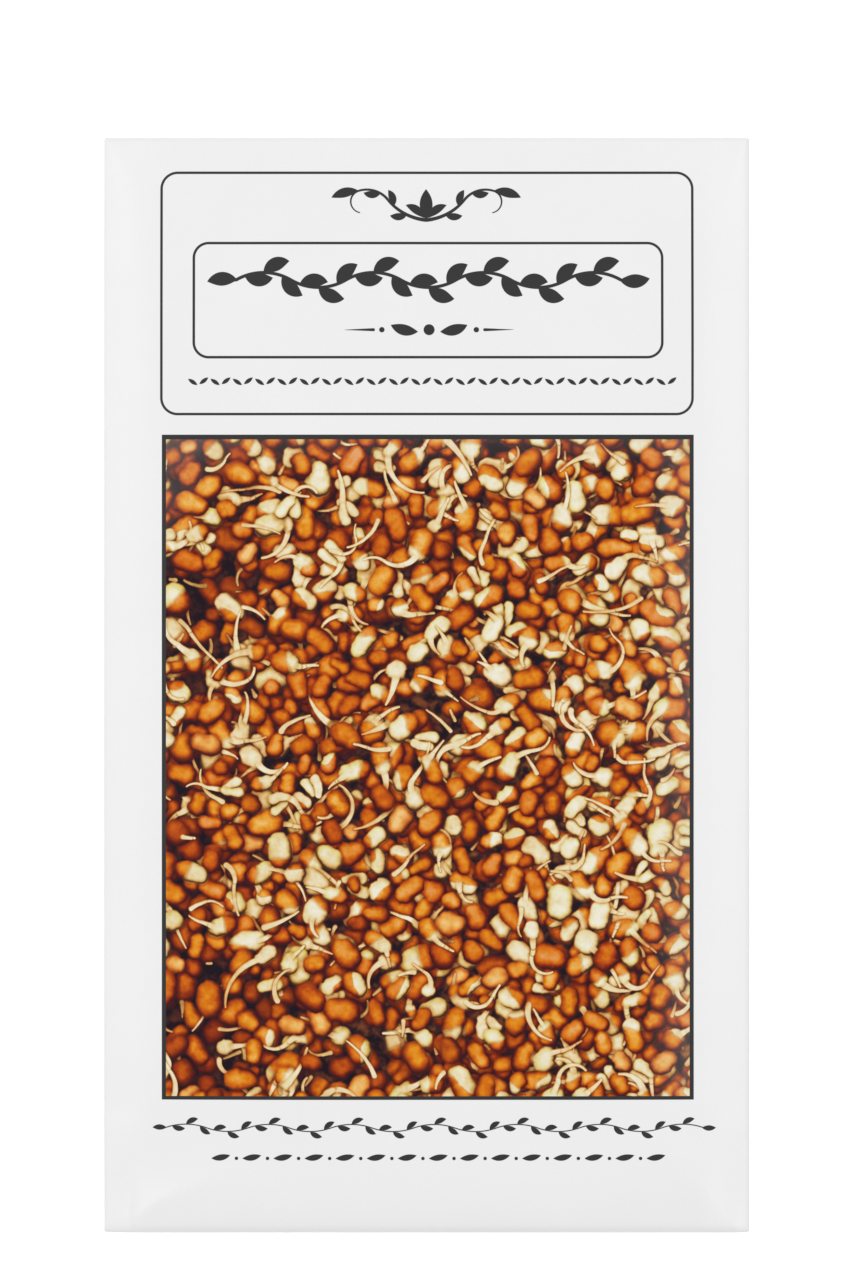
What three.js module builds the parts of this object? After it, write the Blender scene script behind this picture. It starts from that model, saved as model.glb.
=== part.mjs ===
// Flat paper seed packet, lying on its back. Millimetres, +Z up, +X to the right, +Y towards the
// packet's top edge. The origin is under the middle of the packet, on the surface that it lies on.
//
// The packet is one die-cut sheet of coated paper. The front panel has a back panel on each side,
// which fold behind it and lap over each other down the middle, and a flap at each end, which
// folds over the ends of the back panels. Three glue lines close it around a fill of loose seeds.

import * as THREE from "three";

// ---------------------------------------------------------------- driving dimensions
const WIDTH = 100; // packet, fold to fold
const HEIGHT = 169.6; // packet, fold to fold
const PAPER = 0.12; // sheet thickness
const PLY_PITCH = 0.22; // from the middle of one ply to the middle of the ply glued on it
const GLUE = 0.06; // thickness of a glue line
const SIDE_FOLD_R = 0.25; // radius of the side folds, at the middle of the paper
const END_FOLD_R = SIDE_FOLD_R + PLY_PITCH / 2; // the end folds also go round the back panels
const LAP_HALF = 6; // the back panels lap 12 mm over each other
const LAP_STEP = 6; // over this width the under ply comes down beside the lap
const BOTTOM_FLAP = 16;
const TOP_FLAP = 20;
const FLAP_STEP = 4; // over this length the back panels come down beside a flap
const CHAMFER = 7; // cut off each side of a flap's free edge
const CLEAR = 0.3; // between the seeds and the paper

// heights by which the folds lift off the surface: in the corners, the middle of the sides, ends
const LIFT_CORNER = 0.45;
const LIFT_SIDE = 1.1;
const LIFT_BOTTOM = 1.3;
const LIFT_TOP = 0.8;

// how far in from each fold the back comes down to the surface
const BACK_SIDE = 14;
const BACK_BOTTOM = 15.58;
const BACK_TOP = 19.58;

const HX = WIDTH / 2 - SIDE_FOLD_R - PAPER / 2; // where the side folds begin
const HY = HEIGHT / 2 - END_FOLD_R - PAPER / 2; // where the end folds begin

// ---------------------------------------------------------------- shape of the filled packet
const unit = (v) => Math.min(1, Math.max(0, v));
const smooth = (v) => unit(v) ** 2 * (3 - 2 * unit(v));

// Lift of the folded edge above the surface. Both lower corners are bent down, and a crease runs
// from the lower edge up and inwards on the left, where that facet ends.
function lift(x, y) {
  const dx = Math.max(0, HX - Math.abs(x));
  const low = Math.max(0, HY + y);
  const high = Math.max(0, HY - y);
  const facet = x < 0 ? 4.1 + 0.065 * low + 0.1775 * low * low : 1.8 + 0.8 * low;
  const bottom = unit(dx / facet) * (1 - smooth(low / 18));
  const top = smooth(dx / 14) * (1 - smooth(high / 22));
  const side = smooth(Math.min(low, high) / 30) * (1 - smooth(dx / 20));
  return (
    LIFT_CORNER +
    (LIFT_BOTTOM - LIFT_CORNER) * bottom +
    (LIFT_TOP - LIFT_CORNER) * top +
    (LIFT_SIDE - LIFT_CORNER) * side
  );
}

// Underside of the lowest ply: flat on the surface, and rising to the folds.
function base(x, y) {
  const fall = (d, over) => Math.max(0, 1 - Math.max(0, d) / over) ** 2;
  const side = fall(HX - Math.abs(x), BACK_SIDE);
  const end = Math.max(fall(HY + y, BACK_BOTTOM), fall(HY - y, BACK_TOP));
  return lift(x, y) * (1 - (1 - side) * (1 - end));
}

// Where the flaps lie under the back panels, those are one ply higher.
function underFlap(y) {
  const low = y + HEIGHT / 2 - BOTTOM_FLAP;
  const high = HEIGHT / 2 - TOP_FLAP - y;
  return PLY_PITCH * Math.max(1 - smooth(low / FLAP_STEP), 1 - smooth(high / FLAP_STEP));
}

// The under ply of the lap is one ply higher than the other.
const inLap = (x) => PLY_PITCH * smooth((x + LAP_HALF + LAP_STEP) / LAP_STEP);

// How far the front bulges above its own edges. It rises from all four folds, so hips run in
// from the corners, and it stands highest over the lower half, where the seeds have settled.
function bulge(x, y) {
  const rise = (d, terms) => terms.reduce((sum, [h, l]) => sum + h * (1 - Math.exp(-Math.max(0, d) / l)), 0);
  const ramps = [
    rise(HX + x, [[0.75, 3.2], [3.3, 18]]),
    rise(HX - x, [[0.75, 3.0], [3.3, 18]]),
    rise(HY + y, [[0.9, 1.6], [1.4, 6.5], [2.7, 30]]),
    rise(HY - y, [[0.5, 3.0], [3.9, 55]]),
  ];
  if (ramps.some((r) => r <= 1e-9)) return 0;
  return ramps.reduce((sum, r) => sum + r ** -6, 0) ** (-1 / 6);
}

// Middle of the paper in each panel.
const flapZ = (x, y) => base(x, y) + PAPER / 2;
const rightBackZ = (x, y) => flapZ(x, y) + underFlap(y);
const leftBackZ = (x, y) => rightBackZ(x, y) + inLap(x);
const frontZ = (x, y) => lift(x, y) + PAPER / 2 + 2 * SIDE_FOLD_R + underFlap(y) + bulge(x, y);

// ---------------------------------------------------------------- lines on which the sheet bends
const NOTCH = 0.6; // cut into each corner between a flap and a back panel
const columns = [-HX, -HX + NOTCH, -47, -44, -40, -35, -24, -12, -6, 0, 6, 12, 24, 35, 40, 44, 47, HX - NOTCH, HX];
const rows = [
  -HY, -HY + NOTCH, -82.4, -80.4, -77, -73, -68.8, -64.8, -52, -36, -18, 0, 18, 36, 50, 60.8, 64.8, 70, 75, 79.5,
  82.4, HY - NOTCH, HY,
];
const FOLD_STEPS = 4;

// ---------------------------------------------------------------- the folded sheet
// Every place on the sheet has a column and a row. The grid is a cross: outside the front panel
// the columns go on into the back panels, and the rows into the flaps.
function sheet() {
  const across = []; // {panel, x or angle}
  const leftEdge = columns.filter((x) => x <= LAP_HALF).reverse();
  for (const x of leftEdge.slice(0, -1)) across.push({ kind: "left", x });
  for (let k = 0; k < FOLD_STEPS; k++) across.push({ kind: "leftFold", turn: k / FOLD_STEPS });
  for (const x of columns) across.push({ kind: "front", x });
  for (let k = 1; k <= FOLD_STEPS; k++) across.push({ kind: "rightFold", turn: k / FOLD_STEPS });
  const rightEdge = columns.filter((x) => x >= -LAP_HALF).reverse();
  for (const x of rightEdge.slice(1)) across.push({ kind: "right", x });

  const along = [];
  const bottomRows = rows.filter((y) => y <= -HEIGHT / 2 + BOTTOM_FLAP + 1e-6).reverse();
  for (const y of bottomRows.slice(0, -1)) along.push({ kind: "bottom", y });
  for (let k = 0; k < FOLD_STEPS; k++) along.push({ kind: "bottomFold", turn: k / FOLD_STEPS });
  for (const y of rows) along.push({ kind: "front", y });
  for (let k = 1; k <= FOLD_STEPS; k++) along.push({ kind: "topFold", turn: k / FOLD_STEPS });
  const topRows = rows.filter((y) => y >= HEIGHT / 2 - TOP_FLAP - 1e-6).reverse();
  for (const y of topRows.slice(1)) along.push({ kind: "top", y });

  const firstFront = across.findIndex((c) => c.kind === "front");
  const lastFront = firstFront + columns.length - 1;
  const firstRow = along.findIndex((r) => r.kind === "front");
  const lastRow = firstRow + rows.length - 1;

  // Middle of the paper at a grid place.
  function place(i, j) {
    const c = across[i];
    const r = along[j];
    if (c.kind === "front" && r.kind === "front") return new THREE.Vector3(c.x, r.y, frontZ(c.x, r.y));
    if (r.kind === "front") {
      const y = r.y;
      if (c.kind === "left") return new THREE.Vector3(c.x, y, leftBackZ(c.x, y));
      if (c.kind === "right") return new THREE.Vector3(c.x, y, rightBackZ(c.x, y));
      const side = c.kind === "leftFold" ? -1 : 1;
      const angle = (c.kind === "leftFold" ? -0.5 + c.turn : 0.5 - c.turn) * Math.PI;
      const middle = (side < 0 ? leftBackZ(-HX, y) : rightBackZ(HX, y)) + SIDE_FOLD_R;
      return new THREE.Vector3(side * (HX + SIDE_FOLD_R * Math.cos(angle)), y, middle + SIDE_FOLD_R * Math.sin(angle));
    }
    // flaps: their outer columns are drawn in towards the chamfered free edge
    const end = r.kind.startsWith("bottom") ? -1 : 1;
    const depth = r.kind === "bottom" || r.kind === "top" ? HY - Math.abs(r.y) : 0;
    const length = (end < 0 ? BOTTOM_FLAP : TOP_FLAP) - END_FOLD_R;
    const inner = 40;
    const outer = HX - NOTCH - 0.2 - CHAMFER * (depth / length);
    const reach = Math.abs(c.x);
    const x = Math.sign(c.x) * (reach <= inner ? reach : inner + ((reach - inner) / (HX - NOTCH - inner)) * (outer - inner));
    if (r.kind === "bottom" || r.kind === "top") return new THREE.Vector3(x, r.y, flapZ(x, r.y));
    const angle = (r.kind === "bottomFold" ? -0.5 + r.turn : 0.5 - r.turn) * Math.PI;
    const y = end * (HY + END_FOLD_R * Math.cos(angle));
    return new THREE.Vector3(x, y, flapZ(x, end * HY) + END_FOLD_R * (1 + Math.sin(angle)));
  }

  // Which cells of the grid are paper.
  function paper(i, j) {
    const column = i >= firstFront && i < lastFront;
    const row = j >= firstRow && j < lastRow;
    if (column && row) return true;
    if (row) return j > firstRow && j < lastRow - 1 && i >= 0 && i < across.length - 1;
    if (column) return i > firstFront && i < lastFront - 1 && j >= 0 && j < along.length - 1;
    return false;
  }

  return thicken(across.length, along.length, place, paper, PAPER);
}

// ---------------------------------------------------------------- closed solids from grids
// A closed layer of the given thickness around the middle surface place(i, j).
function thicken(countX, countY, place, present, thickness) {
  const inside = (i, j) => i >= 0 && j >= 0 && i < countX - 1 && j < countY - 1 && present(i, j);
  const points = new Map();
  const key = (i, j) => j * countX + i;
  for (let j = 0; j < countY - 1; j++)
    for (let i = 0; i < countX - 1; i++) {
      if (!inside(i, j)) continue;
      for (const [a, b] of [[i, j], [i + 1, j], [i + 1, j + 1], [i, j + 1]])
        if (!points.has(key(a, b))) points.set(key(a, b), { at: place(a, b), normal: new THREE.Vector3() });
      const [p, q, r, s] = [[i, j], [i + 1, j], [i + 1, j + 1], [i, j + 1]].map(([a, b]) => points.get(key(a, b)));
      const n = r.at.clone().sub(p.at).cross(s.at.clone().sub(q.at)).normalize();
      for (const v of [p, q, r, s]) v.normal.add(n);
    }
  const position = [];
  let next = 0;
  for (const v of points.values()) {
    v.normal.normalize();
    v.outer = next++;
    v.inner = next++;
    for (const side of [0.5, -0.5]) position.push(...v.at.clone().addScaledVector(v.normal, side * thickness).toArray());
  }
  const index = [];
  const at = (a, b) => points.get(key(a, b));
  const wall = (p, q) => index.push(p.outer, p.inner, q.inner, p.outer, q.inner, q.outer);
  for (let j = 0; j < countY - 1; j++)
    for (let i = 0; i < countX - 1; i++) {
      if (!inside(i, j)) continue;
      const [p, q, r, s] = [at(i, j), at(i + 1, j), at(i + 1, j + 1), at(i, j + 1)];
      index.push(p.outer, q.outer, r.outer, p.outer, r.outer, s.outer);
      index.push(p.inner, r.inner, q.inner, p.inner, s.inner, r.inner);
      if (!inside(i, j - 1)) wall(p, q);
      if (!inside(i + 1, j)) wall(q, r);
      if (!inside(i, j + 1)) wall(r, s);
      if (!inside(i - 1, j)) wall(s, p);
    }
  return geometry(position, index);
}

// A closed body between two surfaces over the same lines.
function between(xs, ys, topZ, bottomZ) {
  const position = [];
  const index = [];
  const nx = xs.length;
  const ny = ys.length;
  for (const z of [topZ, bottomZ]) for (const y of ys) for (const x of xs) position.push(x, y, z(x, y));
  const top = (i, j) => j * nx + i;
  const under = (i, j) => nx * ny + j * nx + i;
  for (let j = 0; j < ny - 1; j++)
    for (let i = 0; i < nx - 1; i++) {
      index.push(top(i, j), top(i + 1, j), top(i + 1, j + 1), top(i, j), top(i + 1, j + 1), top(i, j + 1));
      index.push(under(i, j), under(i + 1, j + 1), under(i + 1, j), under(i, j), under(i, j + 1), under(i + 1, j + 1));
    }
  const wall = (a, b, c, d) => index.push(top(a, b), under(a, b), under(c, d), top(a, b), under(c, d), top(c, d));
  for (let i = 0; i < nx - 1; i++) {
    wall(i, 0, i + 1, 0);
    wall(i + 1, ny - 1, i, ny - 1);
  }
  for (let j = 0; j < ny - 1; j++) {
    wall(nx - 1, j, nx - 1, j + 1);
    wall(0, j + 1, 0, j);
  }
  return geometry(position, index);
}

function geometry(position, index) {
  const made = new THREE.BufferGeometry();
  made.setAttribute("position", new THREE.Float32BufferAttribute(position, 3));
  made.setIndex(index);
  made.computeVertexNormals();
  return made;
}

// ---------------------------------------------------------------- glue lines and seeds
const seamGlue = between(
  [-5, 5],
  rows.filter((y) => Math.abs(y) <= 80),
  (x, y) => rightBackZ(x, y) + PLY_PITCH / 2 + GLUE / 2,
  (x, y) => rightBackZ(x, y) + PLY_PITCH / 2 - GLUE / 2,
);
const flapGlue = (from, to) =>
  between(
    columns.filter((x) => Math.abs(x) <= 40),
    rows.filter((y) => y >= from && y <= to),
    (x, y) => flapZ(x, y) + PLY_PITCH / 2 + GLUE / 2,
    (x, y) => flapZ(x, y) + PLY_PITCH / 2 - GLUE / 2,
  );
const bottomGlue = flapGlue(-82.5, -72.9);
const topGlue = flapGlue(69.9, 82.5);

const overLap = (x) => Math.min(inLap(x), PLY_PITCH * smooth((LAP_HALF + LAP_STEP - x) / LAP_STEP));
const seeds = between(
  [-46.4, ...columns.filter((x) => Math.abs(x) < 45), 46.4],
  rows.filter((y) => y > -82.5 && y < 79),
  (x, y) => frontZ(x, y) - PAPER / 2 - CLEAR,
  (x, y) => rightBackZ(x, y) + overLap(x) + PAPER / 2 + CLEAR,
);

// ---------------------------------------------------------------- the packet
const coatedPaper = new THREE.MeshStandardMaterial({ color: 0xefefee, roughness: 0.5, metalness: 0, name: "coated_paper" });
const driedGlue = new THREE.MeshStandardMaterial({ color: 0xe9dfc4, roughness: 0.35, metalness: 0, name: "dried_glue" });
const looseSeed = new THREE.MeshStandardMaterial({ color: 0xa8743a, roughness: 0.6, metalness: 0, name: "loose_seed" });

const group = new THREE.Group();
for (const [name, shape, material] of [
  ["paper_sachet", sheet(), coatedPaper],
  ["back_seam_glue", seamGlue, driedGlue],
  ["bottom_flap_glue", bottomGlue, driedGlue],
  ["top_flap_glue", topGlue, driedGlue],
  ["seed_fill", seeds, looseSeed],
]) {
  const mesh = new THREE.Mesh(shape, material);
  mesh.name = name;
  group.add(mesh);
}

export default group;
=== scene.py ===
"""Flat paper seed packet, lying on its back on a pale floor and seen from straight above.

The packet is one folded sheet of coated paper. Its printed front carries a picture of sprouting
seeds and plain ornament, all drawn by the material: the picture is a pile of simple shapes, laid
out at random, and each cell of the front panel carries the few shapes that show in it.
Lengths are in millimetres until a mesh is made.
"""

import math

import bpy
import numpy as np
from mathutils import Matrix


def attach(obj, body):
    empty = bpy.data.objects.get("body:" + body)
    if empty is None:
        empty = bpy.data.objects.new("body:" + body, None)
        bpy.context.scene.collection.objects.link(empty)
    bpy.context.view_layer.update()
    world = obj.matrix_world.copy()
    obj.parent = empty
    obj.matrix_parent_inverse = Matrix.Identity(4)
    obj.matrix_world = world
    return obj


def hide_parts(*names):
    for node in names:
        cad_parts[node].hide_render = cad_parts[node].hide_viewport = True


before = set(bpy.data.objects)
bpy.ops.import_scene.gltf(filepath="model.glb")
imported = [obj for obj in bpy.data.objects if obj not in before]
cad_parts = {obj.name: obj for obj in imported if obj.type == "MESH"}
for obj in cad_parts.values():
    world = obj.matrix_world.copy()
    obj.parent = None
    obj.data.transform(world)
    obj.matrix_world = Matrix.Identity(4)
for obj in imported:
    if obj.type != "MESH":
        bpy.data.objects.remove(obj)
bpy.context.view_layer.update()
MM = 0.001

# ---------------------------------------------------------------- camera
# Straight above the packet. It sees 131.9 by 197.9 mm at the height of the packet's front.
VIEW_HEIGHT = 197.90
CAMERA_UP = 900.0
camera_data = bpy.data.cameras.new("camera")
camera_data.sensor_fit = "VERTICAL"
camera_data.sensor_height = 24.0
camera_data.lens = 24.0 * CAMERA_UP / VIEW_HEIGHT
camera_data.clip_start = 0.05
camera_data.clip_end = 20.0
camera = bpy.data.objects.new("camera", camera_data)
camera.location = (-0.05 * MM, 6.95 * MM, (CAMERA_UP + 3.0) * MM)
bpy.context.scene.collection.objects.link(camera)
bpy.context.scene.camera = camera

# ---------------------------------------------------------------- the packet's dimensions
WIDTH, HEIGHT = 100.0, 169.6
PAPER = 0.12
PLY_PITCH = 0.22
GLUE = 0.06
SIDE_FOLD_R = 0.25
END_FOLD_R = SIDE_FOLD_R + PLY_PITCH / 2
LAP_HALF, LAP_STEP = 6.0, 6.0
BOTTOM_FLAP, TOP_FLAP, FLAP_STEP = 16.0, 20.0, 4.0
CHAMFER = 7.0
LIFT_CORNER, LIFT_SIDE, LIFT_BOTTOM, LIFT_TOP = 0.45, 1.1, 1.3, 0.8
BACK_SIDE, BACK_BOTTOM, BACK_TOP = 14.0, 15.58, 19.58
HX = WIDTH / 2 - SIDE_FOLD_R - PAPER / 2
HY = HEIGHT / 2 - END_FOLD_R - PAPER / 2

# the printed picture, and the black line round it
PX0, PX1, PY0, PY1 = -40.3, 40.6, -63.5, 37.95
LX0, LX1, LY0, LY1 = -40.95, 41.24, -64.06, 38.68


def smooth(v, a=0.0, b=1.0):
    t = np.clip((v - a) / (b - a), 0.0, 1.0)
    return t * t * (3 - 2 * t)


# ---------------------------------------------------------------- shape of the filled packet
def lift(x, y):
    """Height of the folded edge above the surface, with the two bent lower corners."""
    dx = np.maximum(0, HX - np.abs(x))
    low = np.maximum(0, HY + y)
    high = np.maximum(0, HY - y)
    facet = np.where(x < 0, 4.1 + 0.065 * low + 0.1775 * low * low, 1.8 + 0.8 * low)
    bottom = np.clip(dx / facet, 0, 1) * (1 - smooth(low / 18))
    top = smooth(dx / 14) * (1 - smooth(high / 22))
    side = smooth(np.minimum(low, high) / 30) * (1 - smooth(dx / 20))
    return (
        LIFT_CORNER
        + (LIFT_BOTTOM - LIFT_CORNER) * bottom
        + (LIFT_TOP - LIFT_CORNER) * top
        + (LIFT_SIDE - LIFT_CORNER) * side
    )


def base(x, y):
    def fall(d, over):
        return np.maximum(0, 1 - np.maximum(0, d) / over) ** 2

    side = fall(HX - np.abs(x), BACK_SIDE)
    end = np.maximum(fall(HY + y, BACK_BOTTOM), fall(HY - y, BACK_TOP))
    return lift(x, y) * (1 - (1 - side) * (1 - end))


def under_flap(y, step=FLAP_STEP):
    low = y + HEIGHT / 2 - BOTTOM_FLAP
    high = HEIGHT / 2 - TOP_FLAP - y
    return PLY_PITCH * np.maximum(1 - smooth(low / step), 1 - smooth(high / step))


def in_lap(x):
    return PLY_PITCH * smooth((x + LAP_HALF + LAP_STEP) / LAP_STEP)


def rise(d, terms):
    return sum(h * (1 - np.exp(-np.maximum(0, d) / l)) for h, l in terms)


FROM_BOTTOM = [(0.42, 0.75), (0.50, 1.8), (1.35, 6.5), (2.5, 30)]
FROM_CREASE = [(0.9, 2.4), (1.4, 6.5), (2.7, 30)]


def bulge(x, y):
    """How far the seeds push the front out. A crease runs up from each lower corner, where a side and the bottom meet."""
    low = np.maximum(0, HY + y)
    bottom = rise(low, FROM_BOTTOM)
    sides = []
    for side, terms in ((-1, [(0.75, 3.2), (3.3, 18)]), (1, [(0.2, 0.4), (0.65, 3.0), (3.3, 18)])):
        dx = np.maximum(0, HX - side * x)
        near = (1 - smooth(dx / 26)) * (1 - smooth(low / 24))
        weak = 0.5 + 0.5 * smooth(dx / 24)
        # how far up the crease is at this distance from the side
        if side < 0:
            up = (-0.065 + np.sqrt(0.065**2 + 4 * 0.1775 * np.maximum(0, dx - 4.1))) / (2 * 0.1775)
        else:
            up = np.maximum(0, dx - 1.8) / 0.8
        up = np.minimum(up, 26)
        free = rise(dx, terms)
        folded = rise(up, FROM_CREASE) * weak
        blend = smooth((low - up) / 16)
        along = np.maximum(1 - near, blend)
        sides.append(folded * (1 - along) + free * along)
        bottom = bottom * (1 - (1 - weak) * (1 - smooth(low / 24)))
    top = rise(HY - y, [(0.2, 0.4), (0.45, 3.0), (3.8, 55)])
    corner = (1 - smooth((HX - np.abs(x)) / 26)) * (1 - smooth(low / 24))
    power = 6 + 16 * corner
    ramps = [np.maximum(r, 1e-4) for r in (*sides, bottom, top)]
    return sum(r ** -power for r in ramps) ** (-1 / power)


WAVES = [
    # slow waves of the filled front: length, direction, phase, height
    (47.0, 0.35, 0.4, 0.055),
    (31.0, 1.25, 2.1, 0.040),
    (23.0, 2.30, 4.4, 0.026),
    (16.0, 0.85, 1.0, 0.015),
    (12.5, 2.75, 3.3, 0.010),
]


def waves(x, y):
    inside = smooth((HX - np.abs(x)) / 12) * smooth(np.minimum(HY + y, HY - y) / 12)
    total = 0.0
    for length, turn, phase, height in WAVES:
        k = 2 * math.pi / length
        total = total + height * np.sin(k * (x * math.cos(turn) + y * math.sin(turn)) + phase)
    return total * inside


def ridge(x, y):
    """The crisp bend of the paper along the lower left crease."""
    dx = np.maximum(0, HX + x)
    low = np.maximum(0, HY + y)
    off = (dx - 4.1 - 0.065 * low - 0.1775 * low * low) / np.sqrt(1 + (0.065 + 0.355 * low) ** 2)
    return 0.40 * np.exp(-np.abs(off) / 2.4) * smooth(low / 2.6) * (1 - smooth((low - 3.5) / 7))


def flap_z(x, y):
    return base(x, y) + PAPER / 2


def right_back_z(x, y):
    return flap_z(x, y) + under_flap(y)


def left_back_z(x, y):
    return right_back_z(x, y) + in_lap(x)


def front_z(x, y):
    # over the seeds the flaps' edges don't show through
    inside = smooth((HX - np.abs(x)) / 10)
    flaps = under_flap(y) * (1 - inside) + under_flap(y, 30.0) * inside
    return lift(x, y) + PAPER / 2 + 2 * SIDE_FOLD_R + flaps + bulge(x, y) + waves(x, y) + ridge(x, y)


# ---------------------------------------------------------------- node graphs by code
class Graph:
    """Writes a node tree in the order in which it is worked out."""

    def __init__(self, tree):
        self.tree = tree
        self.column = 0

    def node(self, kind, **settings):
        n = self.tree.nodes.new(kind)
        n.location = (self.column * 160, 0)
        self.column += 1
        for name, value in settings.items():
            setattr(n, name, value)
        return n

    def put(self, socket, value):
        if isinstance(value, bpy.types.NodeSocket):
            self.tree.links.new(value, socket)
        else:
            socket.default_value = value

    def math(self, operation, *values, clamp=False):
        n = self.node("ShaderNodeMath", operation=operation)
        for i, value in enumerate(values):
            self.put(n.inputs[i], value)
        if not clamp:
            return n.outputs[0]
        # a node of its own, so that it is worked out in its turn
        c = self.node("ShaderNodeClamp", clamp_type="MINMAX")
        self.put(c.inputs["Value"], n.outputs[0])
        return c.outputs["Result"]

    def add(self, a, b, clamp=False):
        return self.math("ADD", a, b, clamp=clamp)

    def sub(self, a, b, clamp=False):
        return self.math("SUBTRACT", a, b, clamp=clamp)

    def mul(self, a, b, clamp=False):
        return self.math("MULTIPLY", a, b, clamp=clamp)

    def div(self, a, b, clamp=False):
        return self.math("DIVIDE", a, b, clamp=clamp)

    def madd(self, a, b, c, clamp=False):
        return self.math("MULTIPLY_ADD", a, b, c, clamp=clamp)

    def step(self, value, low, high, to_low=0.0, to_high=1.0):
        """Smooth step from low to high."""
        n = self.node("ShaderNodeMapRange", interpolation_type="SMOOTHSTEP", clamp=False)
        for name, v in (("Value", value), ("From Min", low), ("From Max", high), ("To Min", to_low), ("To Max", to_high)):
            self.put(n.inputs[name], v)
        return n.outputs["Result"]

    def three(self, name):
        """A mesh attribute's three numbers."""
        n = self.node("ShaderNodeAttribute", attribute_type="GEOMETRY", attribute_name=name)
        s = self.node("ShaderNodeSeparateColor", mode="RGB")
        self.put(s.inputs[0], n.outputs["Color"])
        return s.outputs[0], s.outputs[1], s.outputs[2]

    def sheet(self, scale=(1.0, 1.0, 1.0)):
        """The place on the unfolded sheet, in millimetres, as a vector."""
        n = self.node("ShaderNodeAttribute", attribute_type="GEOMETRY", attribute_name="sheet")
        m = self.node("ShaderNodeVectorMath", operation="MULTIPLY")
        self.put(m.inputs[0], n.outputs["Vector"])
        m.inputs[1].default_value = scale
        return m.outputs["Vector"]

    def noise(self, vector, scale, detail=2.0, rough=0.5, distortion=0.0):
        n = self.node("ShaderNodeTexNoise", noise_dimensions="3D")
        self.put(n.inputs["Vector"], vector)
        n.inputs["Scale"].default_value = scale
        n.inputs["Detail"].default_value = detail
        n.inputs["Roughness"].default_value = rough
        n.inputs["Distortion"].default_value = distortion
        return n

    def ramp(self, value, stops):
        """stops: (place 0 to 1, linear colour)."""
        n = self.node("ShaderNodeValToRGB")
        elements = n.color_ramp.elements
        while len(elements) > 1:
            elements.remove(elements[-1])
        elements[0].position = stops[0][0]
        elements[0].color = (*stops[0][1], 1)
        for place, colour in stops[1:]:
            elements.new(place).color = (*colour, 1)
        self.put(n.inputs[0], value)
        return n.outputs["Color"]

    def mix(self, factor, a, b, blend="MIX"):
        n = self.node("ShaderNodeMix", data_type="RGBA", blend_type=blend, clamp_factor=True)
        colours = [i for i in n.inputs if i.type == "RGBA"]
        self.put(n.inputs[0], factor)
        self.put(colours[0], a)
        self.put(colours[1], b)
        return [o for o in n.outputs if o.type == "RGBA"][0]


def linear(c):
    c = np.asarray(c, float) / 255
    return np.where(c <= 0.04045, c / 12.92, ((c + 0.055) / 1.055) ** 2.4)


def new_material(name):
    material = bpy.data.materials.new(name)
    material.use_nodes = True
    tree = material.node_tree
    shader = tree.nodes["Principled BSDF"]
    return material, Graph(tree), shader


# ---------------------------------------------------------------- the picture: a pile of sprouting seeds
# Each shape is an arc with round ends: where it starts, its heading, bend radius and side, its
# length, and the half widths at both ends. A short fat one is a seed, a long thin one a shoot.
def field(rng, cell):
    """A smooth random field over the picture, 0 to 1."""
    nx, ny = int((PX1 - PX0) / cell) + 3, int((PY1 - PY0) / cell) + 3
    grid = rng.random_sample((ny, nx))

    def read(x, y):
        u, v = (x - PX0) / cell + 0.5, (y - PY0) / cell + 0.5
        i, j = int(min(max(u, 0), nx - 2)), int(min(max(v, 0), ny - 2))
        fu, fv = min(max(u - i, 0), 1), min(max(v - j, 0), 1)
        fu, fv = fu * fu * (3 - 2 * fu), fv * fv * (3 - 2 * fv)
        return (grid[j, i] * (1 - fu) + grid[j, i + 1] * fu) * (1 - fv) + (
            grid[j + 1, i] * (1 - fu) + grid[j + 1, i + 1] * fu
        ) * fv

    return read


def darts(rng, apart, tries, margin=2.0):
    """Points at random, no two closer than apart, which may be a function of the place."""
    got = np.zeros((0, 3))
    gap = apart if callable(apart) else (lambda x, y: apart)
    for _ in range(tries):
        x = rng.uniform(PX0 - margin, PX1 + margin)
        y = rng.uniform(PY0 - margin, PY1 + margin)
        d = gap(x, y)
        if not len(got) or ((x - got[:, 0]) ** 2 + (y - got[:, 1]) ** 2 > ((d + got[:, 2]) / 2) ** 2).all():
            got = np.vstack([got, (x, y, d)])
    return [(x, y) for x, y, _ in got]


def shape(**given):
    made = dict(side=1.0, wm=0.0, split=2.0, slant=0.0, c0=0.0, c1=0.0, tint=0.0, lx=0.0, ly=0.0, gloss=0.0,
                tone=1.0, start=1e9, end=0.0, soft=0.04, thin=False)
    made.update(given)
    return made


def after(m, push=0.0):
    """Where a shape's far end is, and its heading there."""
    turn = m["length"] / m["bend"] * m["side"]
    head = m["head"] + turn
    x = m["x"] + m["bend"] * m["side"] * (math.sin(head) - math.sin(m["head"])) + push * math.cos(head)
    y = m["y"] + m["bend"] * m["side"] * (math.cos(m["head"]) - math.cos(head)) + push * math.sin(head)
    return x, y, head


def lit(turn, head, side, tilt=0.42):
    """Light from about the upper left, in the shape's own frame."""
    a = math.radians(120) + turn
    x, y = math.cos(a) * tilt, math.sin(a) * tilt
    return dict(lx=x * math.cos(head) + y * math.sin(head), ly=(-x * math.sin(head) + y * math.cos(head)) * side)


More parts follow.
